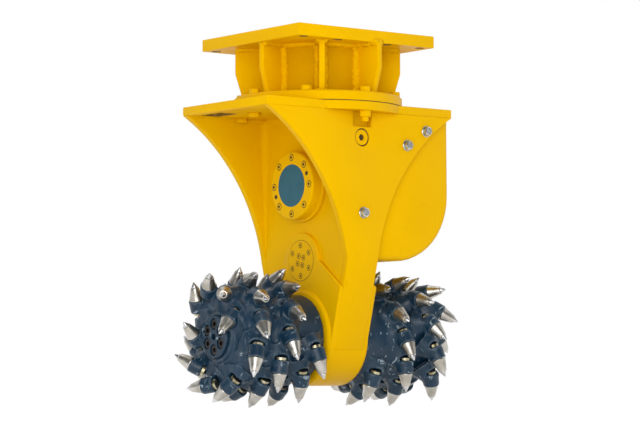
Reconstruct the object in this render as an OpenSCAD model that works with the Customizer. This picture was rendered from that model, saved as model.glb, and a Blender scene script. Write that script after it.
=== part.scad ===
// Drum cutter attachment for an excavator arm: a ribbed adapter over a bent plate housing,
// a gear arm between the plates, and two pick drums on one cross shaft.
// Origin: middle of the adapter's top face. X runs along the drum shaft, -Y is the front.

/* [Adapter] */
// Length of the top mounting plate across the machine
adapter_x = 380; // [330:1:460]
// Depth of the top mounting plate, front to back
adapter_y = 352; // [330:1:440]
// Thickness of the top mounting plate
adapter_t = 26; // [12:1:40]
// Height from the mounting face down to the housing
adapter_h = 158; // [120:1:220]
// Radius of the turned flange that bolts to the housing
flange_r = 187; // [170:1:200]
// Thickness of that flange
flange_t = 22; // [12:1:30]
// Wall of the middle tube
tube_wall = 12; // [6:1:20]
// Number of ribs round the tube
rib_n = 8; // [6:1:10]
// Thickness of a rib
rib_t = 13; // [8:1:20]
// Reach of a rib from the middle of the tube
rib_r = 184; // [150:1:186]
// How far a rib stands out from the tube
rib_out = 67; // [50:1:80]
// How far the lower half of a rib's edge leans in
rib_taper = 16; // [4:1:30]
// Turn of the ribs away from the front line
rib_turn = 9.5; // [0:0.5:20]
// Radius of a bolt hole in the mounting plate
hole_r = 10.5; // [6:0.5:13]
// Spacing of the outer holes across the machine
hole_outer_x = 328; // [290:1:336]
// Spacing of the inner holes across the machine
hole_inner_x = 140; // [100:1:200]
// Spacing of the holes, front to back
hole_y = 316; // [290:1:322]

/* [Housing] */
// Half of the housing's width across the machine
housing_half = 259; // [240:1:290]
// Outer face of the front and back plates, from the middle
housing_out = 155.5; // [140:0.5:170]
// Thickness of the housing's top plate
top_t = 19; // [10:1:26]
// Thickness of the front, back and nose plates
plate_t = 16; // [8:1:20]
// Radius of the hollow side edges of the plates
edge_r = 453; // [440:1:480]
// Height of the bend in the front and back plates, below the mounting face
bend_z = 500; // [480:1:520]
// Half of the arm's width below the bend
arm_half = 42; // [36:1:46]
// Radius of the arm's round nose
nose_r = 106; // [98:1:112]
// Size of a hose slot across the machine
slot_x = 46; // [30:1:50]
// Size of a hose slot, front to back
slot_y = 80; // [50:1:90]
// Distance of a hose slot from the top plate's side edge
slot_side = 27; // [16:1:32]
// Distance of a hose slot from the top plate's back edge
slot_back = 25.5; // [16:0.5:32]
// Width of the pocket for the nut of the front flange bolt
pocket_x = 52; // [40:1:60]
// Height of that pocket
pocket_h = 34; // [28:1:38]
// Radius of the oil plug
plug_r = 17; // [12:0.5:20]
// Distance of the oil plug below the top plate
plug_drop = 57; // [54:1:80]

/* [Gear arm] */
// Height of the motor shaft below the mounting face
motor_z = 333; // [310:1:345]
// Radius of the motor shaft's round cover
motor_cover_r = 75.5; // [60:0.5:85]
// How far that cover stands out from the gear case
motor_cover_h = 34; // [20:1:40]
// Radius of the hydraulic motor
motor_r = 62; // [50:1:75]
// Length of the hydraulic motor
motor_l = 165; // [120:1:190]
// Height of the idler shaft below the mounting face
idler_z = 498; // [490:1:506]
// Radius of the idler shaft's cover
idler_r = 44.5; // [36:0.5:50]
// Radius of the raised pad round the idler cover
pad_r = 61; // [56:1:66]
// Thickness of the raised pads on the arm's sides
pad_t = 9; // [5:1:12]
// Thickness of the ring that seals the arm against a drum
seat_t = 6; // [4:1:10]

/* [Motor guard] */
// Outer face of the guard, from the middle
guard_x = 265; // [255:1:280]
// Radius of the guard's lower corner
guard_corner = 150; // [110:1:160]
// Wall of the guard
guard_wall = 6; // [3:1:10]
// Radius of the guard's rounded side edges
guard_edge = 14; // [6:1:20]

/* [Drums] */
// Height of the drum shaft below the mounting face
axis_z = 668; // [650:1:690]
// Radius of the drum shaft
shaft_r = 40; // [30:1:44]
// Running gap between the arm and a drum
drum_gap = 5; // [5:0.5:8]
// Length of a drum, from its base to its collar
drum_l = 220; // [200:1:240]
// Radius of the drum's body
drum_r = 94; // [90:1:100]
// Radius of the collar round the hub cap
collar_r = 55; // [52:1:60]
// Radius of the hub cap
cap_r = 46; // [43:0.5:48]
// Thickness of the hub cap
cap_t = 15; // [10:1:20]
// Circle radius of the hub cap's bolts
cap_bolt_at = 28; // [27:0.5:30]
// Radius of a counterbore in the hub cap
cap_bore_r = 12.5; // [9:0.5:13]
// Radius of the hub cap's middle hole
cap_hole_r = 7; // [4:0.5:10]

/* [Picks] */
// Radius of the circle that the pick tips cut
tip_r = 153; // [148:1:160]
// Rows of picks that wind round a drum
starts = 2; // [2:1:3]
// Picks in the first row; each next row has one more
row_n = 11; // [8:1:12]
// Turn from one pick of a row to the next
row_step = 32.5; // [30:0.5:36]
// Distance from one pick of a row to the next along the shaft
row_pitch = 17.6; // [15:0.1:19]
// First tip of a row, from the machine's middle
row_x = 83; // [78:1:90]
// Angle of the first tip of a row, from the top toward the front
row_at = -53; // [-90:1:90]
// Turn of the right drum against the mirrored left one
right_turn = 32.5; // [0:0.5:120]
// Lean of a pick from the radius, toward the cut
pick_lean = 40; // [34:1:46]
// Sideways lean that the picks gain from one end of a drum to the other
pick_fan = 41.8; // [0:0.2:48]
// Turn from a row's last pick to its first end pick
end_turn = 57; // [50:1:64]
// Length of a pick's cone with its tip
cone_l = 41; // [34:1:46]
// Radius of the cone's base
cone_r = 16.5; // [14:0.5:18]
// Radius of the hard tip
carbide_r = 6.5; // [5:0.5:8]
// Length of the hard tip
carbide_l = 12; // [8:1:16]
// Radius of a pick's shank
shank_r = 10; // [8:0.5:11]
// Outer radius of a pick holder
holder_r = 18; // [17:0.5:20]
// Length of a pick holder
holder_l = 30; // [28:1:36]
// Radius of the welded foot under a holder, at its depth inside the drum
foot_r = 36; // [32:1:40]
// Wall of the split sleeve on the shank
sleeve_wall = 1.2; // [0.8:0.1:1.5]
// How far sleeve and shank show behind the holder
sleeve_out = 5; // [2:1:8]

/* [Hidden] */

$fn = 64;
fit = 0.3;
yellow = "#f2bb05";
slate = "#38495a";
steel = "#b9b6ac";
brass = "#a58a4e";
dark = "#2e3238";

top_z = -adapter_h;
under_z = top_z - top_t;
rib_top = -adapter_t;
rib_low = top_z + flange_t;
plate_in = housing_out - plate_t;
slot_mid_x = housing_half - slot_side - slot_x / 2;
slot_mid_y = housing_out - slot_back - slot_y / 2;
plug_z = under_z - plug_drop;
plug_room = 3;

// The plates run down from the bend, tangent to the round nose
bend_span = norm([housing_out, axis_z - bend_z]);
slope_l = sqrt(pow(bend_span, 2) - pow(nose_r, 2));
slope = 90 - atan2(axis_z - bend_z, housing_out) - asin(nose_r / bend_span);
nose_y = housing_out - slope_l * sin(slope);
nose_z = -bend_z - slope_l * cos(slope);
bend_in_z = -bend_z + plate_t * tan(slope / 2);
nose_in_y = nose_y - plate_t * cos(slope);
nose_in_z = nose_z + plate_t * sin(slope);

// The hollow edges pass through the plate's top corners and the arm's width at the bend
edge_rise = under_z + bend_z;
edge_run = housing_half - arm_half;
edge_chord = norm([edge_run, edge_rise]);
edge_sag = sqrt(pow(edge_r, 2) - pow(edge_chord / 2, 2));
edge_x = (housing_half + arm_half) / 2 + edge_sag * edge_rise / edge_chord;
edge_z = (under_z - bend_z) / 2 - edge_sag * edge_run / edge_chord;

tube_r = rib_r - rib_out;
pad_x = arm_half + pad_t;
seat_x = pad_x + seat_t;
drum_x = seat_x + drum_gap;
collar_x = drum_x + drum_l;
collar_l = 10;
body_end = collar_x - collar_l;
cap_out = 7;
cap_x = collar_x + cap_out;
shaft_end = cap_x - cap_t;
guard_from = pad_x + 1;

bore_r = shank_r + sleeve_wall + 2 * fit;
holder_end = cone_l + holder_l;
upright_x = drum_x + 0.4 * drum_l;

// End picks of a row: reach past the collar, drop below the tip circle, turn, splay
end_picks = [
    [8, 13, 0, 28],
    [22, 17, 34, 34],
    [34, 40, 70, 58],
    [43, 84, 117, 76]];

// Lays a profile of (y, z) points across the machine, from one x to another
module across(from, to) {
    translate([from, 0, 0]) rotate([90, 0, 90]) linear_extrude(to - from) children();
}

// Lays a profile of (x, z) points along the machine, from one y to another
module along(from, to) {
    translate([0, to, 0]) rotate([90, 0, 0]) linear_extrude(to - from) children();
}

// Turns a profile of (radius, x) points about a shaft that lies across the machine
module turned(z) {
    translate([0, 0, z]) rotate([0, 90, 0]) rotate_extrude() children();
}

// A plain disc or ring on a shaft across the machine
module ring(z, from, to, outer, inner = 0) {
    across(from, to) translate([0, z]) difference() {
        circle(outer);
        if (inner > 0) circle(inner);
    }
}

module left() {
    mirror([1, 0, 0]) children();
}

module adapter_plate() {
    color(yellow) difference() {
        translate([-adapter_x / 2, -adapter_y / 2, -adapter_t]) cube([adapter_x, adapter_y, adapter_t]);
        for (span = [hole_outer_x, hole_inner_x], sx = [-1, 1], sy = [-1, 1])
            translate([sx * span / 2, sy * hole_y / 2, -adapter_t - 1])
                cylinder(r = hole_r, h = adapter_t + 2);
    }
}

module adapter_tube() {
    color(yellow) translate([0, 0, rib_low]) difference() {
        cylinder(r = tube_r, h = rib_top - rib_low);
        translate([0, 0, -1]) cylinder(r = tube_r - tube_wall, h = rib_top - rib_low + 2);
    }
}

// One rib in its own plane: straight above, leaning in below, with its inner corners cut for the welds
module rib_outline() {
    middle = (rib_top + rib_low) / 2;
    snipe = 8;
    start = tube_r + fit;
    polygon([[start, rib_low + snipe], [start + snipe, rib_low], [rib_r - rib_taper, rib_low],
        [rib_r, middle], [rib_r, rib_top], [start + snipe, rib_top], [start, rib_top - snipe]]);
}

module adapter_ribs() {
    color(yellow) for (k = [0 : rib_n - 1])
        rotate([0, 0, rib_turn + 270 + k * 360 / rib_n])
            translate([0, rib_t / 2, 0]) rotate([90, 0, 0]) linear_extrude(rib_t) rib_outline();
}

module adapter_flange() {
    rim = 3;
    foot = 2;
    bore = tube_r - tube_wall;
    color(yellow) translate([0, 0, top_z]) rotate_extrude()
        polygon([[bore, 0], [flange_r - foot, 0], [flange_r, foot], [flange_r, flange_t - rim],
            [flange_r - rim, flange_t], [bore, flange_t]]);
}

module top_plate() {
    color(yellow) difference() {
        translate([0, 0, under_z]) linear_extrude(top_t) union() {
            square([2 * housing_half, 2 * housing_out], center = true);
            circle(flange_r);
        }
        for (side = [-1, 1])
            translate([side * slot_mid_x, slot_mid_y, under_z - 1])
                linear_extrude(top_t + 2) square([slot_x, slot_y], center = true);
    }
}

// Front view of the front and back plates
module plate_front() {
    difference() {
        translate([-housing_half, -bend_z]) square([2 * housing_half, bend_z + under_z]);
        for (side = [-1, 1]) translate([side * edge_x, edge_z]) circle(edge_r);
    }
    translate([-arm_half, nose_z - plate_t]) square([2 * arm_half, -bend_z - nose_z + plate_t]);
}

// Side view of the front and back plates, bent to run down to the nose
module plate_side() {
    polygon([[-housing_out, under_z], [-housing_out, -bend_z], [-nose_y, nose_z],
        [-nose_in_y, nose_in_z], [-plate_in, bend_in_z], [-plate_in, under_z]]);
}

module bent_plate() {
    intersection() {
        along(-housing_out - 1, 0) plate_front();
        across(-housing_half - 1, housing_half + 1) plate_side();
    }
}

module front_plate() {
    color(yellow) difference() {
        bent_plate();
        translate([-pocket_x / 2, -housing_out - 1, under_z - pocket_h])
            cube([pocket_x, plate_t + 2, pocket_h + 1]);
        translate([0, -plate_in + 1, plug_z]) rotate([90, 0, 0])
            cylinder(r = plug_r + plug_room, h = plate_t + 2);
    }
}

module back_plate() {
    color(yellow) mirror([0, 1, 0]) bent_plate();
}

// The space under the lines from the shaft to both tangent points, seen along the shaft
module below_tangents() {
    ray = 2 * [nose_y, nose_z + axis_z];
    translate([0, -axis_z]) polygon([[0, 0], [-ray.x, ray.y], [0, -4 * nose_r], ray]);
}

module nose_plate() {
    color(yellow) across(-arm_half, arm_half) intersection() {
        translate([0, -axis_z]) difference() {
            circle(nose_r);
            circle(nose_r - plate_t);
        }
        below_tangents();
    }
}

// Side view of the gear case, which fills the space between the plates
module case_side() {
    polygon([[-plate_in, under_z], [-plate_in, bend_in_z], [-nose_in_y, nose_in_z],
        [nose_in_y, nose_in_z], [plate_in, bend_in_z], [plate_in, under_z]]);
    translate([0, -axis_z]) circle(nose_r - plate_t);
}

module gear_case() {
    color(yellow) difference() {
        across(-arm_half, arm_half) case_side();
        ring(-axis_z, -arm_half - 1, arm_half + 1, shaft_r + fit);
    }
}

// Side view of the arm with its plates, cut to the part that the raised pads cover
module pad_side() {
    pad_drop = 75;
    intersection() {
        union() {
            polygon([[-housing_out, -bend_z], [-nose_y, nose_z], [nose_y, nose_z], [housing_out, -bend_z]]);
            translate([0, -axis_z]) circle(nose_r);
        }
        polygon([[-pad_r, -idler_z], [-housing_out, -idler_z - pad_drop], [-housing_out, -axis_z - nose_r],
            [housing_out, -axis_z - nose_r], [housing_out, -idler_z - pad_drop], [pad_r, -idler_z]]);
    }
    translate([0, -idler_z]) circle(pad_r);
}

module arm_pad() {
    color(yellow) difference() {
        across(arm_half, pad_x) pad_side();
        ring(-idler_z, arm_half - 1, pad_x + 1, idler_r + fit);
        ring(-axis_z, arm_half - 1, pad_x + 1, shaft_r + fit);
    }
}

module motor_cover() {
    base_t = 8;
    base_out = 4.5;
    base_r = motor_cover_r + base_out;
    rim = 3;
    face = arm_half + motor_cover_h;
    color(yellow) left() turned(-motor_z)
        polygon([[0, arm_half], [base_r, arm_half], [base_r, arm_half + base_t],
            [motor_cover_r, arm_half + base_t], [motor_cover_r, face - rim],
            [motor_cover_r - rim, face], [0, face]]);
}

module idler_cover() {
    proud = 0.5;
    color(yellow) ring(-idler_z, arm_half, pad_x + proud, idler_r);
}

module drum_seat() {
    color(yellow) turned(-axis_z)
        polygon([[shaft_r + fit, pad_x], [nose_r, pad_x], [nose_r, pad_x + seat_t / 3],
            [nose_r - seat_t, seat_x], [shaft_r + fit, seat_x]]);
}

// Front view of the motor guard from an inner edge, drawn in from its outline by a margin
module guard_front(inner, margin) {
    low = -bend_z + margin;
    far = guard_x - margin;
    corner = guard_corner - margin;
    polygon(concat([[inner, low], [inner, under_z], [far, under_z]],
        [for (a = [0 : 7.5 : 90]) [far - corner, low + corner] + corner * [cos(a), -sin(a)]]));
}

module motor_guard() {
    half = plate_in - fit;
    slice = 0.1;
    edge_steps = 3;
    color(yellow) difference() {
        hull() for (k = [0 : edge_steps], side = [-1, 1]) {
            lift = k * 90 / edge_steps;
            translate([0, side * (half - guard_edge * (1 - cos(lift))), 0])
                along(-slice / 2, slice / 2) guard_front(guard_from, guard_edge * (1 - sin(lift)));
        }
        translate([0, 0, 1]) along(guard_wall - half, half - guard_wall)
            guard_front(guard_from - 1, guard_wall);
    }
}

module hydraulic_motor() {
    color(dark) ring(-motor_z, arm_half, arm_half + motor_l, motor_r);
}

module oil_plug() {
    sunk = 3;
    socket_r = 0.47 * plug_r;
    socket_from = 6;
    color(yellow) translate([0, -plate_in, plug_z]) rotate([90, 0, 0]) difference() {
        cylinder(r = plug_r, h = plate_t - sunk);
        translate([0, 0, socket_from]) cylinder(r = socket_r, h = plate_t, $fn = 6);
    }
}

module drum_shaft() {
    color(dark) ring(-axis_z, -shaft_end, shaft_end, shaft_r);
}

// Puts the children at a pick: tip at the origin, shank down -Z, on the right drum
module at_pick(x, radius, angle, splay) {
    translate([0, 0, -axis_z]) rotate([angle, 0, 0]) translate([x, 0, radius])
        rotate([0, splay, 0]) rotate([pick_lean, 0, 0]) children();
}

// Every pick of the right drum: each row winds round the body, then turns out at its end
module each_pick() {
    for (row = [0 : starts - 1]) {
        row_from = row_at + row * 360 / starts;
        row_last = row_n + row - 1;
        for (k = [0 : row_last]) {
            x = row_x + k * row_pitch;
            at_pick(x, tip_r, row_from + k * row_step, (x - upright_x) * pick_fan / drum_l) children();
        }
        for (end = end_picks)
            at_pick(collar_x + end[0], tip_r - end[1],
                row_from + row_last * row_step + end_turn + end[2], end[3]) children();
    }
}

module holder() {
    chamfer = 1.2;
    rotate([180, 0, 0]) translate([0, 0, cone_l]) rotate_extrude()
        polygon([[0, 0], [holder_r - chamfer, 0], [holder_r, chamfer], [holder_r, holder_l], [0, holder_l]]);
}

// The foot runs straight down from the middle of a holder into the drum's body
module holder_foot() {
    foot_l = 34;
    head_r = holder_r - 1;
    translate([0, 0, -cone_l - holder_l / 2]) rotate([-pick_lean, 0, 0])
        translate([0, 0, -foot_l]) cylinder(r1 = foot_r, r2 = head_r, h = foot_l);
}

module holder_bore() {
    room = 3;
    relief = sleeve_out + room;
    translate([0, 0, -holder_end - 1]) cylinder(r = bore_r, h = holder_l + 2);
    translate([0, 0, -holder_end - relief]) cylinder(r = bore_r + room, h = relief);
}

module pick() {
    seat = 2;
    rotate([180, 0, 0]) rotate_extrude()
        polygon([[0, 0], [carbide_r, carbide_l], [carbide_r + seat, carbide_l], [cone_r, cone_l],
            [shank_r, cone_l], [shank_r, holder_end + sleeve_out], [0, holder_end + sleeve_out]]);
}

module sleeve() {
    rotate([180, 0, 0]) rotate_extrude()
        translate([shank_r + fit, holder_end - holder_l / 2])
            square([sleeve_wall, holder_l / 2 + sleeve_out]);
}

// Outline of a drum's body as (radius, x) points, from its base to its collar
module drum_outline() {
    shoulder = 8;
    collar_edge = 3;
    polygon([[shaft_r + fit, drum_x], [drum_r, drum_x], [drum_r, body_end - shoulder],
        [drum_r - shoulder, body_end], [collar_r, body_end], [collar_r, collar_x - collar_edge],
        [collar_r - collar_edge, collar_x], [shaft_r + fit, collar_x]]);
}

module drum() {
    color(slate) difference() {
        union() {
            turned(-axis_z) drum_outline();
            each_pick() holder();
            intersection() {
                each_pick() holder_foot();
                ring(-axis_z, drum_x, body_end, tip_r, shaft_r + fit);
            }
        }
        each_pick() holder_bore();
        ring(-axis_z, shaft_end, collar_x + 1, cap_r + fit);
    }
}

module hub_cap() {
    cap_bolts = 6;
    floor_t = 5;
    rim = 2;
    color(slate) difference() {
        turned(-axis_z) polygon([[0, shaft_end], [cap_r, shaft_end], [cap_r, cap_x - rim],
            [cap_r - rim, cap_x], [0, cap_x]]);
        ring(-axis_z, shaft_end + floor_t, cap_x + 1, cap_hole_r);
        for (k = [0 : cap_bolts - 1])
            translate([shaft_end + floor_t, 0, -axis_z]) rotate([k * 360 / cap_bolts, 0, 0])
                translate([0, 0, cap_bolt_at]) rotate([0, 90, 0]) cylinder(r = cap_bore_r, h = cap_t);
    }
}

module right_drum_turn() {
    translate([0, 0, -axis_z]) rotate([right_turn, 0, 0]) translate([0, 0, axis_z]) children();
}

adapter_plate();
adapter_tube();
adapter_ribs();
adapter_flange();
top_plate();
front_plate();
back_plate();
nose_plate();
gear_case();
left() arm_pad();  // arm_pad_left
arm_pad();  // arm_pad_right
motor_cover();
left() idler_cover();  // idler_cover_left
idler_cover();  // idler_cover_right
left() drum_seat();  // drum_seat_left
drum_seat();  // drum_seat_right
motor_guard();
hydraulic_motor();
oil_plug();
drum_shaft();
left() drum();  // drum_left
right_drum_turn() drum();  // drum_right
color(steel) left() each_pick() pick();  // picks_left
color(steel) right_drum_turn() each_pick() pick();  // picks_right
color(brass) left() each_pick() sleeve();  // sleeves_left
color(brass) right_drum_turn() each_pick() sleeve();  // sleeves_right
left() hub_cap();  // hub_cap_left
hub_cap();  // hub_cap_right
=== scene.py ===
import math

import bpy
import numpy as np
from mathutils import Matrix, Vector


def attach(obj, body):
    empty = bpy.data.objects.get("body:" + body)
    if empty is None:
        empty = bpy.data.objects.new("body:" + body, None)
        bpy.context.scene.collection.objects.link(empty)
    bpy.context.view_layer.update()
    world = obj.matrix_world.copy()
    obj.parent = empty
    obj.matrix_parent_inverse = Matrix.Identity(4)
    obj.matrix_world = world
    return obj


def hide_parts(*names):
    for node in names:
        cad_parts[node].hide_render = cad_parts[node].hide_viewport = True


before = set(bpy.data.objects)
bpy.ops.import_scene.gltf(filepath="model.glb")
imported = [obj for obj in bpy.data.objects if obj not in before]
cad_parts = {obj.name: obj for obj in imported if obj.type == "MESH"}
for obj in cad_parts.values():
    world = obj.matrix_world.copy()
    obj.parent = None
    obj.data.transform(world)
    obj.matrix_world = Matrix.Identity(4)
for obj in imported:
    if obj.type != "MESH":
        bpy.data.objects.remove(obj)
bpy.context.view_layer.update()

# The studio: a camera close to the floor with a long lens, turned to the front left corner and
# looking slightly up, a pale floor in a white surround, and large soft lamps in front, at both
# sides and above.
scene = bpy.context.scene
scene.view_settings.view_transform = "Standard"

camera_turn, camera_rise, camera_roll = 0.67055, 0.06715, -0.00509
camera_at = (-3.46575, -4.37479, -0.76713)
focal_pixels, picture_width, sensor_mm = 2517.1, 640, 36.0
bpy.ops.object.camera_add()
camera = bpy.context.object
camera.name = "view_camera"
camera.data.sensor_width = sensor_mm
camera.data.lens = focal_pixels / picture_width * sensor_mm
camera.data.clip_end = 200.0
camera.matrix_world = (Matrix.Translation(camera_at) @ Matrix.Rotation(-camera_turn, 4, "Z")
                       @ Matrix.Rotation(math.pi / 2 + camera_rise, 4, "X")
                       @ Matrix.Rotation(camera_roll, 4, "Z"))
scene.camera = camera


class Flow:
    """One socket of a finish; arithmetic on it adds the Math nodes."""

    def __init__(self, finish, socket):
        self.finish, self.socket = finish, socket

    def math(self, operation, first, second):
        return self.finish.node("ShaderNodeMath", {"operation": operation}, {0: first, 1: second})

    def __add__(self, other):
        return self.math("ADD", self, other)

    def __rsub__(self, other):
        return self.math("SUBTRACT", other, self)

    def __mul__(self, other):
        return self.math("MULTIPLY", self, other)

    def larger(self, other):
        return self.math("MAXIMUM", self, other)

    def rise(self, low, high):
        """0 up to low, 1 from high, and a smooth step between."""
        return self.finish.node("ShaderNodeMapRange", {"interpolation_type": "SMOOTHSTEP"},
                                {"Value": self, "From Min": low, "From Max": high})

    __radd__ = __add__
    __rmul__ = __mul__


class Finish:
    """A node tree in the making: node() adds any node and gives back one of its outputs."""

    def __init__(self, owner):
        owner.use_nodes = True
        self.owner, self.tree = owner, owner.node_tree

    def node(self, kind, settings=(), inputs=(), out=0):
        made = self.tree.nodes.new(kind)
        for key, value in dict(settings).items():
            setattr(made, key, value)
        for key, value in dict(inputs).items():
            self.feed(made.inputs[key], value)
        return Flow(self, made.outputs[out])

    def feed(self, socket, value):
        if isinstance(value, Flow):
            self.tree.links.new(value.socket, socket)
        else:
            socket.default_value = value

    def shader(self, **sockets):
        """Sets or links the Principled shader's sockets, named with _ for a space."""
        principled = self.tree.nodes["Principled BSDF"]
        for key, value in sockets.items():
            self.feed(principled.inputs[key.replace("_", " ")], value)
        return self.owner


surround = Finish(bpy.data.worlds.new("studio_surround"))
scene.world = surround.owner
open_light, low_light, light_from, light_to = 0.70, 0.74, -0.5, 0.6
room_dark, backdrop_from, backdrop_to = 0.16, -0.15, 0.45
view_line = (math.sin(camera_turn), math.cos(camera_turn), 0.0)
toward = surround.node("ShaderNodeTexCoord", out="Generated")
height = surround.node("ShaderNodeSeparateXYZ", inputs={0: toward}, out="Z")
behind = surround.node("ShaderNodeVectorMath", {"operation": "DOT_PRODUCT"},
                       {0: toward, 1: view_line}, out="Value")
seen = surround.node("ShaderNodeLightPath", out="Is Camera Ray")
mirrored = surround.node("ShaderNodeLightPath", out="Is Glossy Ray")
through = surround.node("ShaderNodeLightPath", out="Is Transmission Ray")
glow = low_light + (open_light - low_light) * height.rise(light_from, light_to)
backdrop = room_dark + (1.0 - room_dark) * behind.rise(backdrop_from, backdrop_to)
bounced = mirrored.larger(through)
background = surround.tree.nodes["Background"]
surround.feed(background.inputs["Color"], (1.0, 1.0, 1.0, 1.0))
surround.feed(background.inputs["Strength"],
              (bounced * backdrop + (1.0 - bounced) * glow).larger(seen))

floor_z, floor_size = -0.90, 120.0
bpy.ops.mesh.primitive_grid_add(x_subdivisions=8, y_subdivisions=8, size=floor_size,
                                location=(0.0, 0.0, floor_z))
floor = bpy.context.object
floor.name = "studio_floor"
pale = Finish(bpy.data.materials.new("pale_floor"))
pale_tone, pale_lift, unlit = (0.9, 0.9, 0.9, 1.0), 0.42, (0.0, 0.0, 0.0, 1.0)
seen = pale.node("ShaderNodeLightPath", out="Is Camera Ray")
mirrored = pale.node("ShaderNodeLightPath", out="Is Glossy Ray")
shown = pale.node("ShaderNodeMix", {"data_type": "RGBA"},
                  {0: seen.larger(mirrored), 6: unlit, 7: pale_tone}, out=2)
floor.data.materials.append(pale.shader(Base_Color=pale_tone, Roughness=0.9,
                                        Specular_IOR_Level=0.0, Emission_Color=shown,
                                        Emission_Strength=pale_lift))

middle = Vector((0.0, 0.0, -0.42))
for lamp_name, lamp_at, lamp_size, lamp_power in (
        ("front_lamp", (-2.1, -3.4, 0.5), 2.4, 42.0),
        ("right_lamp", (2.6, -2.4, 1.2), 2.0, 11.0),
        ("left_lamp", (-2.4, -2.0, -0.6), 1.4, 32.0),
        ("top_lamp", (-0.4, 0.3, 3.2), 2.6, 40.0)):
    bpy.ops.object.light_add(type="AREA", location=lamp_at)
    lamp = bpy.context.object
    lamp.name = lamp_name
    lamp.data.size, lamp.data.energy = lamp_size, lamp_power
    lamp.rotation_euler = (middle - lamp.location).to_track_quat("-Z", "Y").to_euler()

# The adapter: a thick mounting plate on a short tube with eight ribs and a turned flange, all
# steel, flame cut or turned, welded together and sprayed with one thick coat of yellow paint.
MM = 0.001


def tone(red, green, blue):
    """A colour in the 0 to 255 steps of a screen, as the shader's linear values."""
    steps = [value / 255.0 for value in (red, green, blue)]
    return (*[s / 12.92 if s <= 0.04045 else ((s + 0.055) / 1.055) ** 2.4 for s in steps], 1.0)


def speckle(finish, scale, detail=2.0, stretch=(1.0, 1.0, 1.0)):
    """Noise that stays with the piece, from 0 to 1."""
    coordinates = finish.node("ShaderNodeTexCoord", out="Object")
    place = finish.node("ShaderNodeMapping", inputs={"Vector": coordinates, "Scale": stretch})
    return finish.node("ShaderNodeTexNoise",
                       inputs={"Vector": place, "Scale": scale, "Detail": detail})


def blend_tones(finish, share, first, second):
    """The first colour where share is 0, the second where it is 1."""
    return finish.node("ShaderNodeMix", {"data_type": "RGBA"},
                       {0: share, 6: first, 7: second}, out=2)


def bumped(finish, height, depth=1.0):
    """Relief from a height in metres, or from one of 0 to 1 with its depth."""
    return finish.node("ShaderNodeBump", inputs={"Height": height, "Distance": depth})


def yellow_coat(name, ripple_scale, ripple_depth, low=tone(223, 172, 0), high=tone(227, 176, 0)):
    """Yellow machine paint: slow drifts of tone, dust, fine orange peel, ripples of the steel."""
    paint = Finish(bpy.data.materials.new(name))
    peel_scale, peel_depth = 430.0, 0.00012
    drift = speckle(paint, 5.0, 3.0).rise(0.35, 0.65)
    dust = speckle(paint, 38.0, 4.0).rise(0.62, 0.78)
    warm = blend_tones(paint, drift, low, high)
    peel = speckle(paint, peel_scale, 1.0)
    ripple = speckle(paint, ripple_scale)
    return paint.shader(Base_Color=blend_tones(paint, dust * 0.25, warm, tone(205, 152, 0)),
                        Roughness=0.40 + 0.10 * drift + 0.12 * dust,
                        Normal=bumped(paint, peel * peel_depth + ripple * ripple_depth),
                        Specular_IOR_Level=0.10, Specular_Tint=tone(255, 214, 40))


plate_ripple = (24.0, 0.00025)
yellow_paint = yellow_coat("yellow_paint", *plate_ripple)


def alone(piece):
    """Selects this piece and nothing else, and makes it the active one."""
    bpy.ops.object.select_all(action="DESELECT")
    piece.select_set(True)
    bpy.context.view_layer.objects.active = piece


def smoothed(piece, degrees):
    """Shades a piece smooth, apart from its sharp edges."""
    alone(piece)
    bpy.ops.object.shade_smooth_by_angle(angle=math.radians(degrees))
    return piece


def finished(piece, name, material, body="carrier"):
    """Names a piece, gives it its finish and hangs it on its body."""
    piece.name = piece.data.name = name
    if material is not None:
        piece.data.materials.clear()
        piece.data.materials.append(material)
    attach(piece, body)
    return piece


def painted(node, material):
    """Gives a CAD node that keeps its own shape its finish."""
    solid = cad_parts[node]
    solid.data.materials.clear()
    solid.data.materials.append(material)


def eased(node, radius, seam=None, segments=3, profile=0.5):
    """A merged copy of a CAD node, its sharp edges rounded apart from those a weld closes."""
    piece = bpy.data.objects.new(node + "_eased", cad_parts[node].data.copy())
    scene.collection.objects.link(piece)
    alone(piece)
    bpy.ops.object.mode_set(mode="EDIT")
    bpy.ops.mesh.select_mode(type="EDGE")
    bpy.ops.mesh.select_all(action="SELECT")
    bpy.ops.mesh.remove_doubles(threshold=0.00002)
    bpy.ops.mesh.dissolve_limited(angle_limit=math.radians(0.4))
    bpy.ops.mesh.select_all(action="DESELECT")
    bpy.ops.mesh.edges_select_sharp(sharpness=math.radians(28.0))
    bpy.ops.object.mode_set(mode="OBJECT")
    # A face that only sharp edges bound stays selected, so its whole rim is rounded
    corners = [vertex.co for vertex in piece.data.vertices]
    for edge in piece.data.edges:
        if edge.select and seam and seam(*[corners[v] for v in edge.vertices]):
            edge.select = False
    bpy.ops.object.mode_set(mode="EDIT")
    bpy.ops.mesh.bevel(offset=radius, segments=segments, profile=profile, affect="EDGES",
                       clamp_overlap=True)
    bpy.ops.object.mode_set(mode="OBJECT")
    return smoothed(piece, 40.0)


def bare_steel_and_shade(name):
    """Dark steel of drilled holes and flame-cut slots that the paint hardly reached, made darker as
    painted shade of their deep walls.
    """
    steel = Finish(bpy.data.materials.new(name))
    spray = speckle(steel, 180.0, 3.0).rise(0.45, 0.75)
    return steel.shader(
        Base_Color=blend_tones(steel, spray, tone(104, 76, 14), tone(172, 125, 12)),
        Roughness=0.6 + 0.2 * spray)


def bared_and_shaded(piece, cut):
    """Gives the upright faces of a piece that lie in its cuts the dark finish of bare steel and
    painted shade.
    """
    piece.data.materials.append(cut_steel)
    for face in piece.data.polygons:
        face.material_index = int(abs(face.normal.z) < 0.5 and cut(face.center))


hole_y, hole_xs, hole_reach = 158.0 * MM, (164.0 * MM, 70.0 * MM), 11.5 * MM


def in_plate_hole(point):
    return any(math.hypot(abs(point.x) - x, abs(point.y) - hole_y) < hole_reach for x in hole_xs)


# Holes and slots get dark steel: partly bare steel, partly painted shade of their deep walls.
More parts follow.
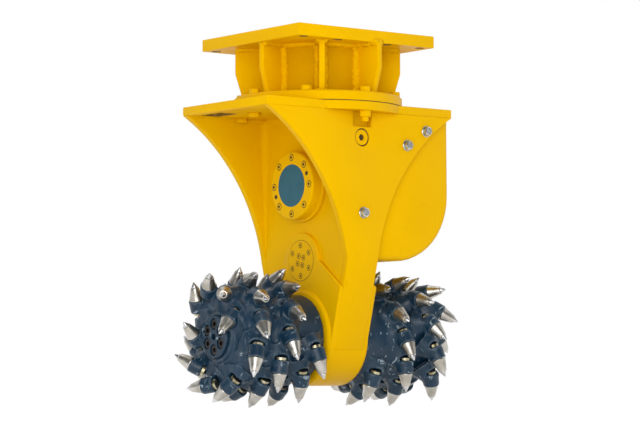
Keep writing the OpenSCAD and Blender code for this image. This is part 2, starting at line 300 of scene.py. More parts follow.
cut_steel = bare_steel_and_shade("bare_cut_steel_and_shade")
for node, edge_round in (("adapter_plate", 1.6 * MM), ("adapter_ribs", 2.2 * MM)):
    piece = finished(eased(node, edge_round), node + "_eased", yellow_paint)
    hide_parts(node)
    if node == "adapter_plate":
        bared_and_shaded(piece, in_plate_hole)
# The tube's yellow is darker than the rest of the paint: painted shade of the recess under the
# plate, between the ribs.
painted("adapter_tube", yellow_coat("shaded_yellow_paint", *plate_ripple,
                                    tone(196, 145, 0), tone(204, 153, 0)))
painted("adapter_flange", yellow_paint)

# The adapter's welds: hand-laid fillet beads along both sides of every rib and round the tube's
# two ends, left as they were laid and painted over, so their ripples show through the paint.
weld_paint = yellow_coat("weld_paint", 150.0, 0.0014)


def edit_edges(piece, wanted):
    """Opens the active piece for editing, with the edges selected whose two ends are wanted."""
    bpy.ops.object.mode_set(mode="EDIT")
    bpy.ops.mesh.select_mode(type="EDGE")
    bpy.ops.mesh.select_all(action="DESELECT")
    bpy.ops.object.mode_set(mode="OBJECT")
    for edge in piece.data.edges:
        edge.select = wanted(*[piece.data.vertices[v].co for v in edge.vertices])
    bpy.ops.object.mode_set(mode="EDIT")


def uneven(piece, offset, seed):
    """Makes the active piece as uneven as a weld laid by hand."""
    bpy.ops.object.mode_set(mode="EDIT")
    bpy.ops.mesh.select_all(action="SELECT")
    bpy.ops.transform.vertex_random(offset=offset, normal=0.6, seed=seed)
    bpy.ops.object.mode_set(mode="OBJECT")
    bpy.ops.object.shade_smooth()
    return piece


def bead(start, end, radius, seed):
    """A straight weld bead: a bar in the corner, cut into short lengths and made uneven."""
    start, end = Vector(start) * MM, Vector(end) * MM
    run, ripple_length = end - start, 4.5 * MM
    bpy.ops.object.select_all(action="DESELECT")
    bpy.ops.mesh.primitive_cylinder_add(
        vertices=10, radius=radius * MM, depth=run.length, location=(start + end) / 2,
        rotation=run.to_track_quat("Z", "Y").to_euler())
    piece = bpy.context.object
    bpy.ops.object.transform_apply(location=True, rotation=True, scale=True)
    edit_edges(piece, lambda a, b: abs((a - b).length - run.length) < 0.00001)
    bpy.ops.mesh.subdivide(number_cuts=max(2, int(run.length / ripple_length)))
    return uneven(piece, 0.30 * radius * MM, seed)


def ring_bead(radius, z, thick, seed):
    """A weld bead round a tube."""
    bpy.ops.object.select_all(action="DESELECT")
    bpy.ops.mesh.primitive_torus_add(
        location=(0.0, 0.0, z * MM), major_segments=120, minor_segments=10,
        major_radius=radius * MM, minor_radius=thick * MM)
    piece = bpy.context.object
    bpy.ops.object.transform_apply(location=True, rotation=True, scale=True)
    return uneven(piece, 0.24 * thick * MM, seed)


def joined(pieces):
    """Joins pieces into the first of them."""
    bpy.ops.object.select_all(action="DESELECT")
    for piece in pieces:
        piece.select_set(True)
    bpy.context.view_layer.objects.active = pieces[0]
    bpy.ops.object.join()
    return bpy.context.object


def copied(piece, matrix):
    """A copy of a piece with its own mesh, moved by a matrix."""
    copy = bpy.data.objects.new(piece.name, piece.data.copy())
    copy.data.transform(matrix)
    scene.collection.objects.link(copy)
    return copy


tube_r, rib_half, rib_top, rib_low = 117.0, 6.5, -26.0, -136.0
rib_reach, rib_foot, rib_turn, rib_count = 182.0, 166.0, 9.5, 8
seam_r, seam_gap, run_from = tube_r + 1.0, 4.0, tube_r + 6.0
seam_bead, top_bead, foot_bead, top_ring, foot_ring = 9.0, 7.4, 6.2, 8.4, 7.0
rib_beads = []
for side in (-1, 1):
    v = side * rib_half
    rib_beads.append(bead((seam_r, v, rib_low + seam_gap), (seam_r, v, rib_top - seam_gap),
                          seam_bead, 11 + side))
    rib_beads.append(bead((run_from, v, rib_top), (rib_reach, v, rib_top), top_bead, 21 + side))
    rib_beads.append(bead((run_from, v, rib_low), (rib_foot, v, rib_low), foot_bead, 31 + side))
rib_welds = joined(rib_beads)
around = [copied(rib_welds, Matrix.Rotation(math.radians(rib_turn + k * 360.0 / rib_count), 4, "Z"))
          for k in range(rib_count)]
bpy.data.objects.remove(rib_welds)
around += [ring_bead(seam_r, rib_top, top_ring, 5), ring_bead(seam_r, rib_low, foot_ring, 6)]
finished(joined(around), "adapter_welds", weld_paint)

# The flange's bolts: eight hex bolts through flange and top plate, with nuts below, painted over
# together with the plates. Their corners are chamfered, and the front bolt's end shows under its
# longer nut.


def hexagon(across, height, chamfer, up=0.0):
    """A standing hex head or nut with its corners chamfered."""
    bpy.ops.object.select_all(action="DESELECT")
    bpy.ops.mesh.primitive_cylinder_add(vertices=6, radius=across / math.sqrt(3.0), depth=height,
                                        location=(0.0, 0.0, up + height / 2))
    piece = bpy.context.object
    bpy.ops.object.transform_apply(location=True, rotation=True, scale=True)
    bpy.ops.object.mode_set(mode="EDIT")
    bpy.ops.mesh.select_mode(type="EDGE")
    bpy.ops.mesh.select_all(action="SELECT")
    bpy.ops.mesh.bevel(offset=chamfer, segments=2, affect="EDGES", clamp_overlap=True)
    bpy.ops.object.mode_set(mode="OBJECT")
    return piece


def lathe(profile, steps):
    """A turned piece: (radius, height) points, in metres, spun round a standing axis."""
    mesh = bpy.data.meshes.new("turned")
    mesh.from_pydata([(r, 0.0, z) for r, z in profile],
                     [(k, k + 1) for k in range(len(profile) - 1)], [])
    piece = bpy.data.objects.new("turned", mesh)
    scene.collection.objects.link(piece)
    alone(piece)
    bpy.ops.object.mode_set(mode="EDIT")
    bpy.ops.mesh.select_all(action="SELECT")
    bpy.ops.mesh.spin(steps=steps, angle=2.0 * math.pi, center=(0.0, 0.0, 0.0),
                      axis=(0.0, 0.0, 1.0))
    bpy.ops.mesh.select_all(action="SELECT")
    bpy.ops.mesh.remove_doubles(threshold=0.000005)
    bpy.ops.mesh.normals_make_consistent(inside=False)
    bpy.ops.object.mode_set(mode="OBJECT")
    return piece


bolt_circle, bolt_count, bolt_turn, front_nut = 172.0 * MM, 8, -2.0, 6
flange_top, plate_under = -136.0 * MM, -177.0 * MM
head_across, head_h, chamfer = 22.0 * MM, 11.0 * MM, 1.2 * MM
nut_across, nut_h = 24.0 * MM, 9.5 * MM
stud_r, stud_tip_r, stud_end, stud_tip = 8.0 * MM, 6.8 * MM, 2.4 * nut_h, 2.55 * nut_h
head = hexagon(head_across, head_h, chamfer)
nut = hexagon(nut_across, nut_h, chamfer)
long_nut = joined([hexagon(nut_across, 1.5 * nut_h, chamfer),
                   lathe([(0.0, nut_h), (stud_r, nut_h), (stud_r, stud_end),
                          (stud_tip_r, stud_tip), (0.0, stud_tip)], 24)])
bolts = []
for k in range(bolt_count):
    turn = Matrix.Rotation(math.radians(bolt_turn) + k * 2.0 * math.pi / bolt_count, 4, "Z")
    below = Matrix.Translation((bolt_circle, 0.0, plate_under)) @ Matrix.Rotation(math.pi, 4, "X")
    bolts.append(copied(head, turn @ Matrix.Translation((bolt_circle, 0.0, flange_top))))
    bolts.append(copied(long_nut if k == front_nut else nut, turn @ below))
for pattern in (head, nut, long_nut):
    bpy.data.objects.remove(pattern)
smoothed(finished(joined(bolts), "flange_bolts", yellow_paint), 35.0)

# The housing: a flame-cut top plate with hose slots, front and back plates with hollow sides that
# are bent over to a rolled nose, all welded, ground flush where they meet, and painted yellow.
top_under, arm_from, arm_half = -177.0 * MM, -500.0 * MM, 41.0 * MM
nose_joint, nose_band, plate_round, near = -695.0 * MM, 6.0 * MM, 2.0 * MM, 0.5 * MM
slot_in, slot_out, slot_front, slot_back = 185.0 * MM, 233.0 * MM, 49.0 * MM, 131.0 * MM


def top_seam(a, b):
    """Edges welded at the top plate's lower face stay sharp."""
    return abs(a.z - top_under) < near and abs(b.z - top_under) < near


def plate_seam(a, b):
    """Edges welded to the top plate, the gear arm and the nose stay sharp."""
    low = max(a.z, b.z) < arm_from and min(abs(a.x), abs(b.x)) > arm_half
    return top_seam(a, b) or low or (a.z < nose_joint and b.z < nose_joint + nose_band)


def in_slot(point):
    return slot_in < abs(point.x) < slot_out and slot_front < point.y < slot_back


for node, seam in (("top_plate", top_seam), ("front_plate", plate_seam),
                   ("back_plate", plate_seam)):
    piece = finished(eased(node, plate_round, seam), node + "_eased", yellow_paint)
    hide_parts(node)
    if node == "top_plate":
        bared_and_shaded(piece, in_slot)
for node in ("nose_plate", "oil_plug", "gear_case"):
    painted(node, yellow_paint)

# The housing's coves: smooth fillets of weld, ground and filled, in the inner corners between the
# gear case, the plates and the top plate on the open left side.


def cove(start, end, first, second, start_r, end_r):
    """A hollow fillet in a corner, from one radius to another, its rims sunk into the plates."""
    start, end, first, second = (Vector(v) for v in (start, end, first, second))
    steps, sunk = 14, 0.12 * MM
    points = []
    for at, radius in ((start, start_r), (end, end_r)):
        for k in range(steps + 1):
            angle = k * math.pi / 2 / steps
            points.append(at + first * (radius * (1.0 - math.sin(angle)) - sunk)
                          + second * (radius * (1.0 - math.cos(angle)) - sunk))
        points.append(at - (first + second) * 2.0 * sunk)
    ring = steps + 2
    faces = [(k, (k + 1) % ring, ring + (k + 1) % ring, ring + k) for k in range(ring)]
    mesh = bpy.data.meshes.new("cove")
    mesh.from_pydata(points, [], faces + [tuple(range(ring)), tuple(range(ring, 2 * ring))])
    piece = bpy.data.objects.new("cove", mesh)
    scene.collection.objects.link(piece)
    alone(piece)
    bpy.ops.object.mode_set(mode="EDIT")
    bpy.ops.mesh.select_all(action="SELECT")
    bpy.ops.mesh.normals_make_consistent(inside=False)
    bpy.ops.object.mode_set(mode="OBJECT")
    return smoothed(piece, 40.0)


case_x, plate_y, cove_low, cove_out = -42.0 * MM, 139.5 * MM, -468.0 * MM, -252.0 * MM
corner_r, low_r, top_r = 20.0 * MM, 3.0 * MM, 15.0 * MM
down, out = (0.0, 0.0, -1.0), (-1.0, 0.0, 0.0)
coves = []
for side in (-1, 1):
    inward, y = (0.0, -side, 0.0), side * plate_y
    coves.append(cove((case_x, y, cove_low), (case_x, y, top_under), out, inward, low_r, corner_r))
    coves.append(cove((cove_out, y, top_under), (case_x, y, top_under), down, inward, low_r, top_r))
coves.append(cove((case_x, -plate_y, top_under), (case_x, plate_y, top_under), out, down,
                  top_r, top_r))
finished(joined(coves), "cavity_coves", yellow_paint)

# The plate bolts: zinc-plated hex bolts with washers that hold the motor guard's brackets and
# close the gear case, put in after painting, so they stay bright.


def zinc_plate(name):
    """Bright zinc with faint crystals and a slight bloom."""
    zinc = Finish(bpy.data.materials.new(name))
    crystal = speckle(zinc, 260.0, 3.0).rise(0.3, 0.7)
    bloom = speckle(zinc, 70.0).rise(0.4, 0.7)
    return zinc.shader(
        Base_Color=blend_tones(zinc, bloom, tone(196, 199, 200), tone(170, 168, 158)),
        Metallic=1.0, Roughness=0.24 + 0.14 * crystal, Normal=bumped(zinc, crystal, 0.0001))


def washer(outer, inner, thick):
    ease = 0.25 * thick
    return lathe([(inner, 0.0), (outer - ease, 0.0), (outer, ease), (outer, thick - ease),
                  (outer - ease, thick), (inner, thick), (inner, 0.0)], 32)


zinc = zinc_plate("zinc_plate")
front_y = -155.5 * MM
washer_r, washer_hole, washer_t = 12.4 * MM, 6.5 * MM, 2.4 * MM
hex_across, hex_h, hex_chamfer = 19.0 * MM, 8.0 * MM, 0.9 * MM
crown_r, crown_top_r, crown_from, crown_to = 7.6 * MM, 7.2 * MM, 9.0 * MM, 10.9 * MM
plate_bolt = joined([washer(washer_r, washer_hole, washer_t),
                     hexagon(hex_across, hex_h, hex_chamfer, washer_t),
                     lathe([(0.0, crown_from), (crown_r, crown_from), (crown_top_r, crown_to),
                            (0.0, crown_to)], 24)])
stand_front = Matrix.Rotation(math.pi / 2, 4, "X")
stand_back = Matrix.Rotation(-math.pi / 2, 4, "X")
fixings = []
for y, stand, spots in (
        (front_y, stand_front, ((182.5, -211.0, 0.2), (127.0, -245.0, 0.6), (1.0, -398.5, 0.35))),
        (-front_y, stand_back, ((182.5, -211.0, 0.5), (127.0, -245.0, 0.1)))):
    for x, z, turn in spots:
        fixings.append(copied(plate_bolt, Matrix.Translation((x * MM, y, z * MM)) @ stand
                              @ Matrix.Rotation(turn, 4, "Z")))
bpy.data.objects.remove(plate_bolt)
smoothed(finished(joined(fixings), "plate_bolts", zinc), 35.0)

# The gear arm's sides: flat raised pads with soft outlines, seal rings turned from bar, and round
# covers, all painted yellow with the housing.
case_side, pad_face, pad_soft, cover_round = 43.0 * MM, 51.5 * MM, 8.6 * MM, 1.8 * MM
pad_bores = ((-498.0 * MM, 46.0 * MM), (-668.0 * MM, 42.0 * MM))


def pad_seam(a, b):
    """Edges on the gear case and round the bores stay sharp."""
    return min(abs(a.x), abs(b.x)) < case_side or any(
        all(math.hypot(p.y, p.z - z) < reach for p in (a, b)) for z, reach in pad_bores)


def cover_seam(a, b):
    """Edges against the gear case or its pads stay sharp."""
    inner = min(abs(a.x), abs(b.x))
    return inner < case_side or (inner < pad_face and max(a.z, b.z) < arm_from)


for node in ("arm_pad_left", "arm_pad_right"):
    piece = finished(eased(node, pad_soft, pad_seam, segments=8, profile=0.16),
                     node + "_eased", yellow_paint)
    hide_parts(node)
for node in ("motor_cover", "drum_seat_left", "drum_seat_right"):
    piece = finished(eased(node, cover_round, cover_seam, segments=4), node + "_eased",
                     yellow_paint)
    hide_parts(node)
for node in ("idler_cover_left", "idler_cover_right"):
    painted(node, yellow_paint)

# The covers' screws: socket head screws sunk level with the covers, painted over, with a hexagon
# socket in the middle and a flat disc of painted shade under each that shows as the thin dark gap
# of its counterbore and the socket's floor.


def dark_gap(name):
    """Shade and dirt that sit in a narrow gap or a socket."""
    gap = Finish(bpy.data.materials.new(name))
    # The two dark tones are painted shade of the gap, with some dirt.
    shade_and_dirt = speckle(gap, 300.0).rise(0.35, 0.7)
    return gap.shader(Base_Color=blend_tones(gap, shade_and_dirt, tone(44, 28, 4), tone(78, 52, 8)),
                      Roughness=0.7 + 0.2 * shade_and_dirt)


gap_paint = dark_gap("gap_shade")


def hexagon_rim(across, up):
    """The open outline of a hexagon socket."""
    bpy.ops.object.select_all(action="DESELECT")
    bpy.ops.mesh.primitive_circle_add(vertices=6, radius=across / math.sqrt(3.0),
                                      location=(0.0, 0.0, up))
    rim = bpy.context.object
    bpy.ops.object.transform_apply(location=True, rotation=True, scale=True)
    return rim


def bridged(piece, within, up):
    """Closes the flat ring between a screw head's rim and its socket."""
    edit_edges(piece, lambda a, b: all(p.xy.length < within and abs(p.z - up) < 0.00001
                                       for p in (a, b)))
    bpy.ops.mesh.bridge_edge_loops()
    bpy.ops.mesh.select_all(action="SELECT")
    bpy.ops.mesh.normals_make_consistent(inside=False)
    bpy.ops.object.mode_set(mode="OBJECT")
    return piece


def socket_screw(radius, proud, socket_across, gap):
    """A sunk screw head that faces +Z: outer gap ring and socket floor of painted shade, head with
    eased rim, hexagon socket.
    """
    shade_up = 0.12 * MM
    head = lathe([(radius, 0.0), (radius, 0.6 * proud), (0.92 * radius, proud),
                  (0.70 * radius, proud)], 32)
    head.data.materials.append(yellow_paint)
    rim = hexagon_rim(socket_across, proud)
    rim.data.materials.append(yellow_paint)
    face = bridged(joined([head, rim]), 0.71 * radius, proud)
    shade = lathe([(0.0, shade_up), (radius + gap, shade_up), (radius + gap, 0.0)], 32)
    shade.data.materials.append(gap_paint)
    return joined([face, shade])


def screw_ring(pattern, count, circle, first, x, z, facing):
    """Copies of a screw on a circle round a cross shaft."""
    ring = []
    for k in range(count):
        angle = first + k * 2 * math.pi / count
        at = (x, circle * math.cos(angle), z + circle * math.sin(angle))
        ring.append(copied(pattern, Matrix.Translation(at) @ facing))
    return ring


motor_z, motor_face, motor_screws, motor_circle = -333.0 * MM, -76.0 * MM, 8, 62.5 * MM
idler_z, idler_face, idler_screws, idler_circle = -498.0 * MM, -51.5 * MM, 6, 33.5 * MM
inner_screws, inner_circle, inner_turn = 4, 12.0 * MM, math.radians(59.0)
face_left = Matrix.Rotation(-math.pi / 2, 4, "Y")
face_right = Matrix.Rotation(math.pi / 2, 4, "Y")
large_screw = socket_screw(radius=6.2 * MM, proud=0.9 * MM, socket_across=6.6 * MM, gap=1.8 * MM)
small_screw = socket_screw(radius=4.8 * MM, proud=0.7 * MM, socket_across=4.8 * MM, gap=1.5 * MM)
screws = screw_ring(large_screw, motor_screws, motor_circle, 0.0, motor_face, motor_z, face_left)
for x, facing in ((idler_face, face_left), (-idler_face, face_right)):
    screws += screw_ring(small_screw, idler_screws, idler_circle, math.pi / 2, x, idler_z, facing)
    screws += screw_ring(small_screw, inner_screws, inner_circle, inner_turn, x, idler_z, facing)
for pattern in (large_screw, small_screw):
    bpy.data.objects.remove(pattern)
finished(joined(screws), "cover_screws", None)

# The dark openings: two threaded jacking holes in the motor cover, the oil plug's hexagon socket
# and the narrow gaps round the plug, the idler covers and the flange's foot, each a thin disc or
# ring of painted shade that stands for the shade deep inside them, so they look nearly black.


def gap_ring(inner, outer, height, steps):
    """A ring of painted shade that shows as the dark gap round a piece."""
    return lathe([(inner, 0.0), (inner, height), (outer, height), (outer, 0.0), (inner, 0.0)],
                 steps)


jack_r, jack_rim, jack_edge, jack_floor = 4.0 * MM, 4.7 * MM, 4.9 * MM, 0.15 * MM
jack_hole = lathe([(0.0, jack_floor), (jack_r, jack_floor), (jack_r, 0.5 * MM),
                   (jack_rim, 0.3 * MM), (jack_edge, 0.0)], 32)
openings = [copied(jack_hole, Matrix.Translation((motor_face, y * MM, z * MM)) @ face_left)
            for y, z in ((-54.0, -309.0), (56.0, -355.0))]
bpy.data.objects.remove(jack_hole)
plug_z, plug_r, plug_hole_r, plug_gap_h = -234.0 * MM, 17.2 * MM, 19.8 * MM, 12.0 * MM
plug_key, plug_key_h, plug_key_ease, plug_key_up = 13.6 * MM, 3.5 * MM, 0.2 * MM, 6.0 * MM
plug_from = Matrix.Translation((0.0, -plate_y, plug_z)) @ stand_front
plug_gap = gap_ring(plug_r, plug_hole_r, plug_gap_h, 64)
for opening in (hexagon(plug_key, plug_key_h, plug_key_ease, plug_key_up), plug_gap):
    openings.append(copied(opening, plug_from))
    bpy.data.objects.remove(opening)
idler_rim, idler_r, idler_hole_r, idler_gap_h = 51.0 * MM, 44.4 * MM, 45.5 * MM, 0.14 * MM
idler_gap = gap_ring(idler_r, idler_hole_r, idler_gap_h, 96)
for x, facing in ((-idler_rim, face_left), (idler_rim, face_right)):
    openings.append(copied(idler_gap, Matrix.Translation((x, 0.0, idler_z)) @ facing))
bpy.data.objects.remove(idler_gap)
foot_in, foot_out, foot_up, foot_z = 184.2 * MM, 186.3 * MM, 1.6 * MM, -158.0 * MM
foot_gap = lathe([(foot_in, 0.0), (foot_out, 0.0), (foot_out, foot_up), (foot_in, 0.0)], 128)
foot_gap.data.transform(Matrix.Translation((0.0, 0.0, foot_z)))
finished(joined(openings + [foot_gap]), "shaded_openings", gap_paint)

# The round sticker on the motor cover: a plain disc of blue vinyl film, slightly rounded at its cut
# edge, with a faint satin texture.


def vinyl_film(name):
    """Blue film with slow changes of tone and a fine grain."""
    film = Finish(bpy.data.materials.new(name))
    drift = speckle(film, 40.0).rise(0.3, 0.7)
    grain = speckle(film, 900.0, 1.0)
    return film.shader(Base_Color=blend_tones(film, drift, tone(32, 87, 103), tone(38, 94, 110)),
                       Roughness=0.42 + 0.08 * drift, Normal=bumped(film, grain, 0.00004),
                       Specular_IOR_Level=0.3)


sticker_r, film_t, film_edge = 47.0 * MM, 0.4 * MM, 0.3 * MM
sticker = lathe([(sticker_r, 0.0), (sticker_r, 0.6 * film_t), (sticker_r - film_edge, film_t),
                 (0.5 * sticker_r, film_t), (0.0, film_t)], 96)
sticker.data.transform(Matrix.Translation((motor_face, 0.0, motor_z)) @ face_left)
finished(sticker, "round_sticker", vinyl_film("blue_film"))

# The motor guard: a pressed and welded tub of thin plate round the hydraulic motor, painted yellow.
# Inside it the motor is a plain dark casting that hardly shows, and the shaft is dark steel too.


def dark_casting(name):
    """Dark oiled steel or iron with a fine cast grain; on the picks' shanks it stands as painted
    shade.
    """
    iron = Finish(bpy.data.materials.new(name))
    grain = speckle(iron, 220.0, 4.0)
    patch = speckle(iron, 14.0, 3.0).rise(0.35, 0.7)
    return iron.shader(Base_Color=blend_tones(iron, patch, tone(52, 55, 58), tone(72, 73, 74)),
                       Metallic=0.6, Roughness=0.45 + 0.2 * patch,
                       Normal=bumped(iron, grain, 0.0003))


def guard_seam(a, b):
    """Counts every edge of the tub as one to keep."""
    return True


dark_steel = dark_casting("dark_steel")
guard_round = 0.6 * MM
guard = finished(eased("motor_guard", guard_round, guard_seam), "motor_guard_eased", yellow_paint)
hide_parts("motor_guard")
painted("hydraulic_motor", dark_steel)
painted("drum_shaft", dark_steel)

# The drums: turned steel bodies with the pick holders welded on, the welds dressed into smooth
# blends, and one coat of slate blue paint, scuffed along the edges and scratched in handling.


def slate_coat(name):
    """Slate blue satin paint: pale scuffs on the edges, a few scratches, uneven over the welds."""
    paint = Finish(bpy.data.materials.new(name))
    weld_depth, grain_depth = 0.0007, 0.00007
    bend = paint.node("ShaderNodeAttribute", {"attribute_name": "bend"}, out="Fac")
    weld = paint.node("ShaderNodeAttribute", {"attribute_name": "weld"}, out="Fac")
    drift = speckle(paint, 11.0, 3.0).rise(0.3, 0.7)
    patch = speckle(paint, 70.0, 4.0)
    scuffed = (bend * 0.55 + patch).rise(0.80, 1.05)
    lengthwise = speckle(paint, 30.0, stretch=(0.5, 7.0, 1.8))
    crosswise = speckle(paint, 30.0, stretch=(6.0, 0.6, 2.6))
    scratch = lengthwise.larger(crosswise).rise(0.655, 0.70) * speckle(paint, 13.0).rise(0.47, 0.56)
    chip = speckle(paint, 95.0, 3.0).rise(0.75, 0.79) * speckle(paint, 16.0).rise(0.52, 0.62)
    worn = (scuffed * 0.16).larger(scratch * 0.9).larger(chip * 0.25)
    base = blend_tones(paint, drift, tone(14, 42, 61), tone(21, 50, 71))
    relief = (weld * speckle(paint, 60.0, 3.0) * weld_depth
              + speckle(paint, 300.0) * grain_depth)
    return paint.shader(Base_Color=blend_tones(paint, worn, base, tone(132, 148, 158)),
                        Roughness=0.30 + 0.10 * drift + 0.15 * worn,
                        Normal=bumped(paint, relief), Specular_IOR_Level=0.34)


slate_paint = slate_coat("slate_paint")
axis_z, drum_from, drum_length, collar_x, tip_r = -668.0, 62.0, 220.0, 282.0, 153.0
starts, row_n, row_step, row_pitch, row_x, row_at = 2, 11, 32.5, 17.6, 83.0, -53.0
right_turn, pick_lean, pick_fan, end_turn = 32.5, 40.0, 41.8, 57.0
upright_x = drum_from + 0.4 * drum_length
# The end picks of a row: reach past the collar, drop below the tip circle, turn, splay
end_picks = ((8.0, 13.0, 0.0, 28.0), (22.0, 17.0, 34.0, 34.0),
             (34.0, 40.0, 70.0, 58.0), (43.0, 84.0, 117.0, 76.0))
flip = Matrix.Diagonal((-1.0, 1.0, 1.0, 1.0))
to_shaft = Matrix.Translation((0.0, 0.0, axis_z * MM))
shaft_turn = (to_shaft @ Matrix.Rotation(math.radians(right_turn), 4, "X")
              @ Matrix.Translation((0.0, 0.0, -axis_z * MM)))


def pick_places(side):
    """The place of every pick of a drum: its point, with the shank down its own axis."""
    places = []
    for row in range(starts):
        row_from, row_last = row_at + row * 360.0 / starts, row_n + row - 1
        stations = [(row_x + k * row_pitch, tip_r, row_from + k * row_step,
                     (row_x + k * row_pitch - upright_x) * pick_fan / drum_length)
                    for k in range(row_last + 1)]
        stations += [(collar_x + reach, tip_r - drop,
                      row_from + row_last * row_step + end_turn + turn, splay)
                     for reach, drop, turn, splay in end_picks]
        for x, radius, angle, splay in stations:
            place_at = (to_shaft @ Matrix.Rotation(math.radians(angle), 4, "X")
                        @ Matrix.Translation((x * MM, 0.0, radius * MM))
                        @ Matrix.Rotation(math.radians(splay), 4, "Y")
                        @ Matrix.Rotation(math.radians(pick_lean), 4, "X"))
            places.append(flip @ place_at @ flip if side == "left" else shaft_turn @ place_at)
    return places


def filled(first, second, reach):
    """The smaller of two distances with the corner between them filled, and where it is filled."""
    share = np.clip(0.5 + 0.5 * (second - first) / reach, 0.0, 1.0)
    level = second + (first - second) * share - reach * share * (1.0 - share)
    return level, 4.0 * share * (1.0 - share)


def cut_out(body, tool, edge):
    """The distance to a body less a tool, with the cut's edge rounded."""
    return -filled(-body, tool, edge)[0]


def to_outline(x, r, outline):
    """Signed distance to a closed outline of (radius, x) points, below 0 inside it."""
    best, inside = np.full(x.shape, np.inf), np.zeros(x.shape, bool)
    for (r0, x0), (r1, x1) in zip(outline, outline[1:] + outline[:1]):
        dr, dx = r1 - r0, x1 - x0
        share = np.clip(((r - r0) * dr + (x - x0) * dx) / (dr * dr + dx * dx), 0.0, 1.0)
        best = np.minimum(best, (r - r0 - share * dr) ** 2 + (x - x0 - share * dx) ** 2)
        if dx != 0.0:
            inside ^= ((x0 > x) != (x1 > x)) & (r < r0 + (x - x0) * dr / dx)
    return np.where(inside, -1.0, 1.0) * np.sqrt(best)


def tube_distance(depth, out, near, far, radius, soft):
    """Distance to a round bar along an axis, with its edges softened."""
    side = out - radius + soft
    end = np.abs(depth - (near + far) / 2) - (far - near) / 2 + soft
    return (np.minimum(np.maximum(side, end), 0.0)
            + np.hypot(np.maximum(side, 0.0), np.maximum(end, 0.0)) - soft)


body_outline = [(0.0, 62.0), (94.0, 62.0), (94.0, 264.0), (86.0, 272.0), (0.0, 272.0)]
collar_outline = [(0.0, 262.0), (55.0, 262.0), (55.0, 279.0), (52.0, 282.0), (0.0, 282.0)]
body_end, shaft_bore, cap_room, cap_floor = 272.0, 40.3, 46.3, 274.0
holder_r, holder_from, holder_to, holder_round = 18.0, 41.0, 71.0, 2.0
foot_head, foot_r, foot_l, foot_fill = 17.0, 36.0, 34.0, 6.0
foot_flare = (foot_r - foot_head) / foot_l
collar_fill, weld_fill, holder_reach = 9.0, 11.0, 70.0
hollow_at, hollow_r, hollow_long, hollow_edge = 73.0, 16.0, 9.0, 6.0
# The room in front of a holder that its pick's cone needs
cone_r, cone_flare, cone_slope, cone_edge = 6.0, 0.31, 0.95, 2.0
lump = 0.7
lump_waves = ((0.19, 0.08, 0.06), (-0.07, 0.18, 0.10), (0.05, -0.11, 0.20), (0.31, -0.24, 0.12))


class DrumField:
    """How far points, in millimetres, are from a drum's welded body."""

    def __init__(self, places):
        self.holders = []
        lean = math.radians(pick_lean)
        for place_at in places:
            turn = np.array(place_at.to_3x3())
            tip = np.array(place_at.translation) / MM
            upright = math.sin(lean) * turn[:, 1] + math.cos(lean) * turn[:, 2]
            middle = tip - turn[:, 2] * (holder_from + holder_to) / 2
            self.holders.append((tip, turn, middle, upright))

    def distance(self, points):
        """The distance to the body, below 0 inside it, and how much of it is weld."""
        x = np.abs(points[:, 0])
        r = np.hypot(points[:, 1], points[:, 2] - axis_z)
        body, _ = filled(to_outline(x, r, body_outline), to_outline(x, r, collar_outline),
                         collar_fill)
        weld = np.zeros(len(points))
        local = []
        for tip, turn, middle, upright in self.holders:
            beside = np.flatnonzero(np.abs(points[:, 0] - middle[0]) < holder_reach)
            close = beside[((points[beside] - middle) ** 2).sum(1) < holder_reach ** 2]
            away, below = points[close] - tip, points[close] - middle
            depth, sunk = -(away @ turn[:, 2]), -(below @ upright)
            out = np.sqrt(np.maximum((away ** 2).sum(1) - depth ** 2, 0.0))
            wide = np.sqrt(np.maximum((below ** 2).sum(1) - sunk ** 2, 0.0))
            scoop = np.hypot(away @ turn[:, 0], np.minimum(away @ turn[:, 1], 0.0))
            local.append((close, depth, out, scoop))
            foot = (wide - foot_head - foot_flare * sunk) / math.hypot(1.0, foot_flare)
            for limit in (-sunk, sunk - foot_l, drum_from - x[close], x[close] - body_end):
                foot = np.maximum(foot, limit)
            bar = tube_distance(depth, out, holder_from, holder_to, holder_r, holder_round)
            body[close], share = filled(body[close], filled(bar, foot, foot_fill)[0], weld_fill)
            weld[close] = np.maximum(weld[close], share)
        waves = sum(np.sin(points @ np.array(wave) + k) for k, wave in enumerate(lump_waves))
        body = body + lump * waves / 4.0 * weld
        for close, depth, out, scoop in local:
            bowl = np.sqrt((scoop / hollow_r) ** 2 + ((depth - hollow_at) / hollow_long) ** 2)
            hollow = np.maximum((bowl - 1.0) * hollow_long, holder_to - depth)
            front = np.maximum((out - cone_r - cone_flare * depth) * cone_slope,
                               np.maximum(depth - holder_from, -depth))
            body[close] = cut_out(cut_out(body[close], hollow, hollow_edge), front, cone_edge)
        for limit in (shaft_bore - r, drum_from - x, np.minimum(cap_room - r, x - cap_floor)):
            body = np.maximum(body, limit)
        return body, weld


